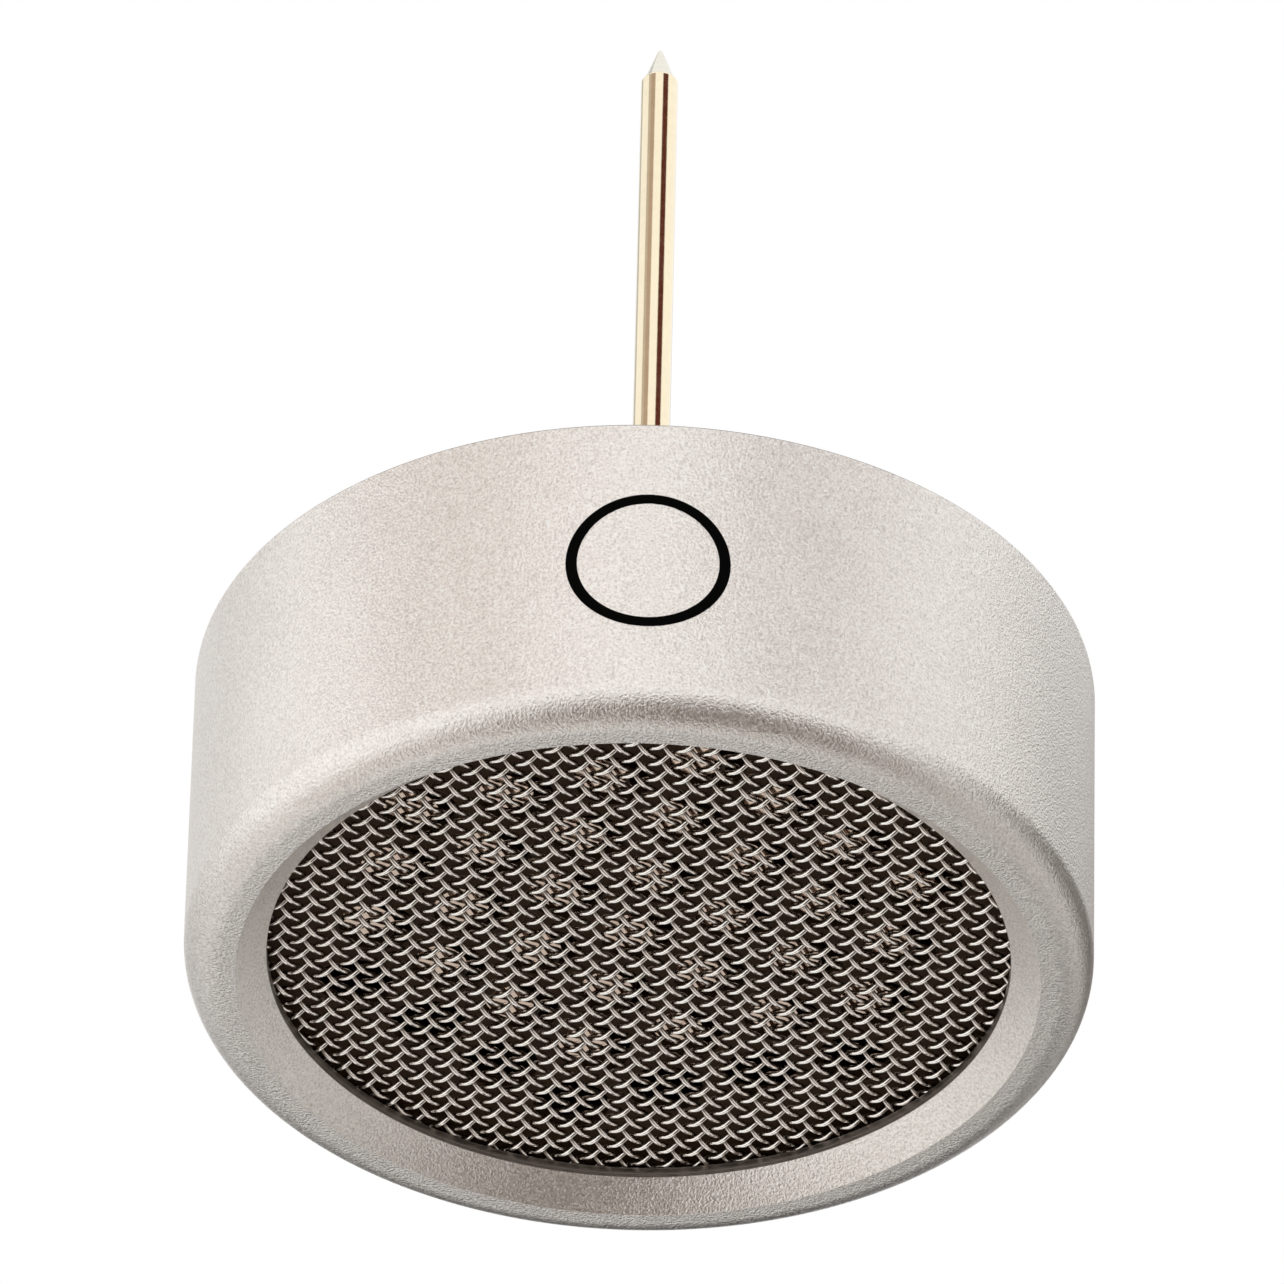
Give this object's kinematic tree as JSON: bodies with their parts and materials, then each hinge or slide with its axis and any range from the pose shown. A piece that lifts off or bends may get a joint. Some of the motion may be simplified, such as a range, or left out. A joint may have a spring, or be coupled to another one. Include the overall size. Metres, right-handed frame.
{
  "type": "condenser microphone capsule",
  "caption": "Turned microphone capsule with woven front grille behind a countersunk lip, threaded rear socket and long central contact pin.",
  "frame": {"origin": "centre of the flat front land, on the capsule's axis; the capsule stands on that land with the pin up, as pictured", "axes": "+Z along the axis from the front grille to the pin's tip; the ring mark is on the -Y side"},
  "size_m": [0.02, 0.02, 0.0264],
  "materials": {
    "satin_nickel": "turned brass, fine bead-blasted and satin nickel plated",
    "mark_paint": "matt black paint in a shallow groove",
    "stainless_wire": "bright plain-woven stainless wire",
    "turned_brass": "fine-turned bare brass",
    "black_plate": "black anodised",
    "gold_film": "polyester film with a sputtered gold coat",
    "shim_film": "amber polyimide film",
    "carrier_plastic": "machined natural insulating plastic",
    "grey_felt": "dense grey felt",
    "bright_steel": "bright stainless",
    "gold_plate": "polished gold-plated brass",
    "gasket_rubber": "soft black rubber",
    "nickel_cover": "turned brass, dull nickel plated",
    "bush_plastic": "white machined fluoroplastic",
    "bronze_washer": "rolled spring bronze"
  },
  "bodies": {
    "root": {"housing": "satin_nickel", "pattern_mark": "mark_paint", "grille_mesh": "stainless_wire", "grille_ring": "black_plate", "resonator_plate": "black_plate", "diaphragm": "gold_film", "tension_ring": "turned_brass", "gap_shim": "shim_film", "backplate": "turned_brass", "insulator_carrier": "carrier_plastic", "damping_disc": "grey_felt", "terminal_washer": "bright_steel", "terminal_nut": "turned_brass", "contact_pin": "gold_plate", "chamber_gasket": "gasket_rubber", "rear_cover": "nickel_cover", "pin_bush": "bush_plastic", "vent_tube": "turned_brass", "slip_washer": "bronze_washer", "retaining_ring": "turned_brass"}
  },
  "joints": []
}
